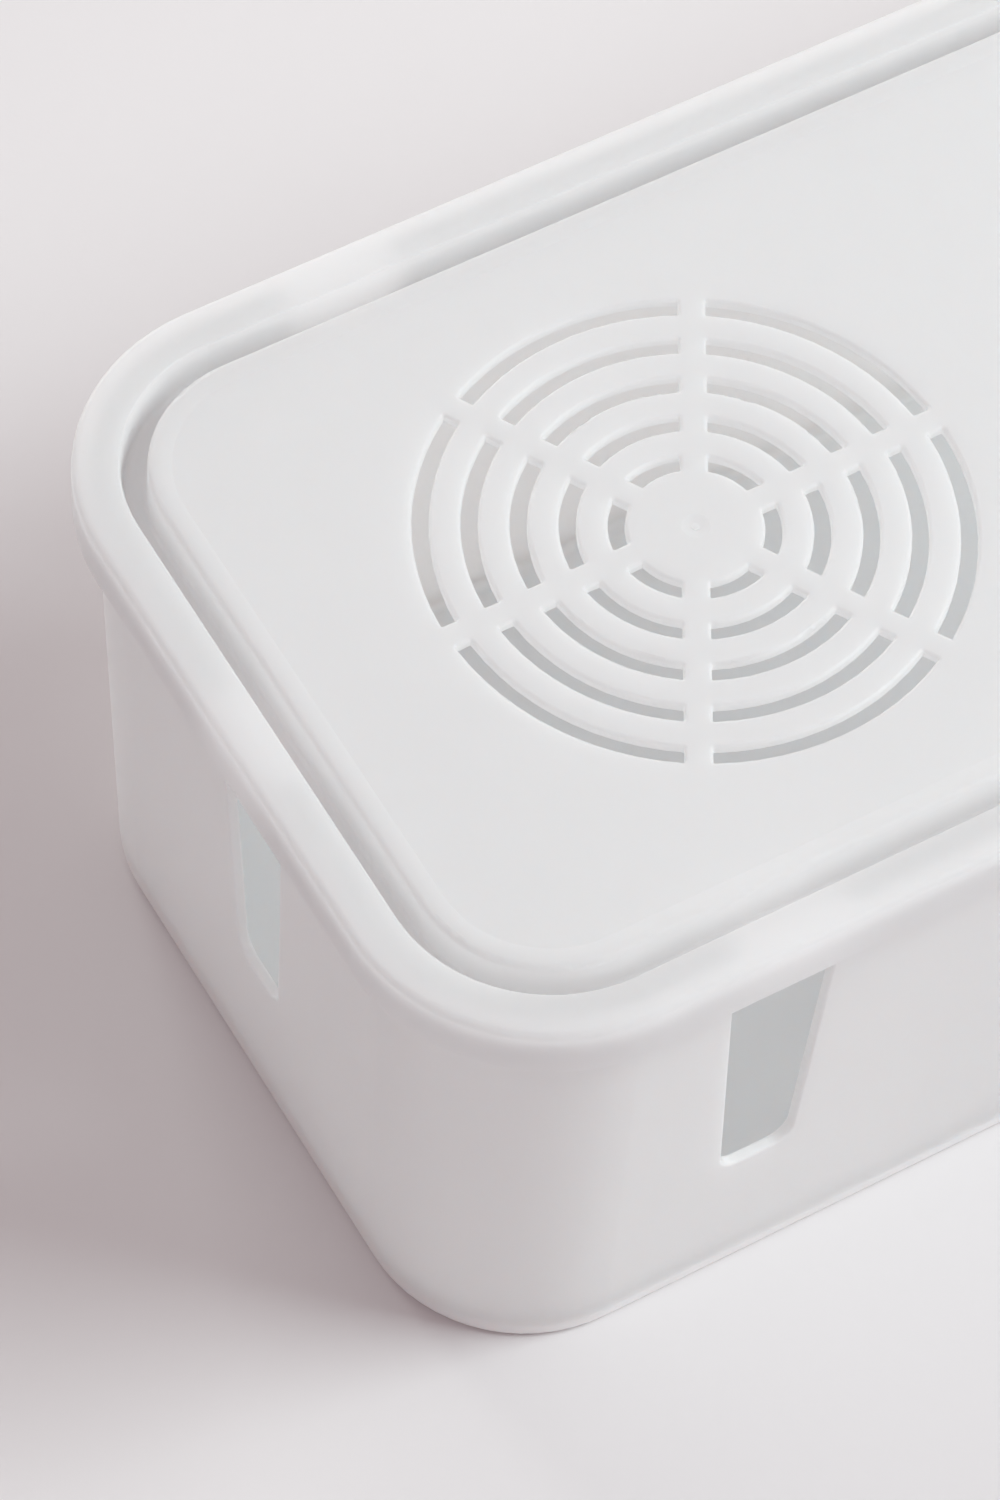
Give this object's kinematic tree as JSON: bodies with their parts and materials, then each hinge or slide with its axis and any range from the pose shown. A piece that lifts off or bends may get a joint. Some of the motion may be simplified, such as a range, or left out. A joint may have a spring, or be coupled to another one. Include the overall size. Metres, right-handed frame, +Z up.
{
  "type": "cable management box",
  "caption": "Long rounded plastic box that hides a power strip, with tapered cable notches in its walls and a lift-off lid with a moat round a raised panel and round vent grilles.",
  "frame": {"origin": "middle of the base, on the surface that the box stands on", "axes": "+X along the box's length, +Y across it, +Z up through the lid"},
  "size_m": [0.32, 0.1366, 0.095],
  "materials": {
    "tub": "white moulded plastic, satin gloss",
    "lid": "white moulded plastic, satin gloss"
  },
  "bodies": {
    "tub": {"tub": "tub"},
    "lid": {"lid": "lid"}
  },
  "joints": [
    {"name": "lid_lift", "type": "slide", "parent": "tub", "child": "lid", "axis": [0, 0, 1], "range_m": [0, 0.1]}
  ]
}
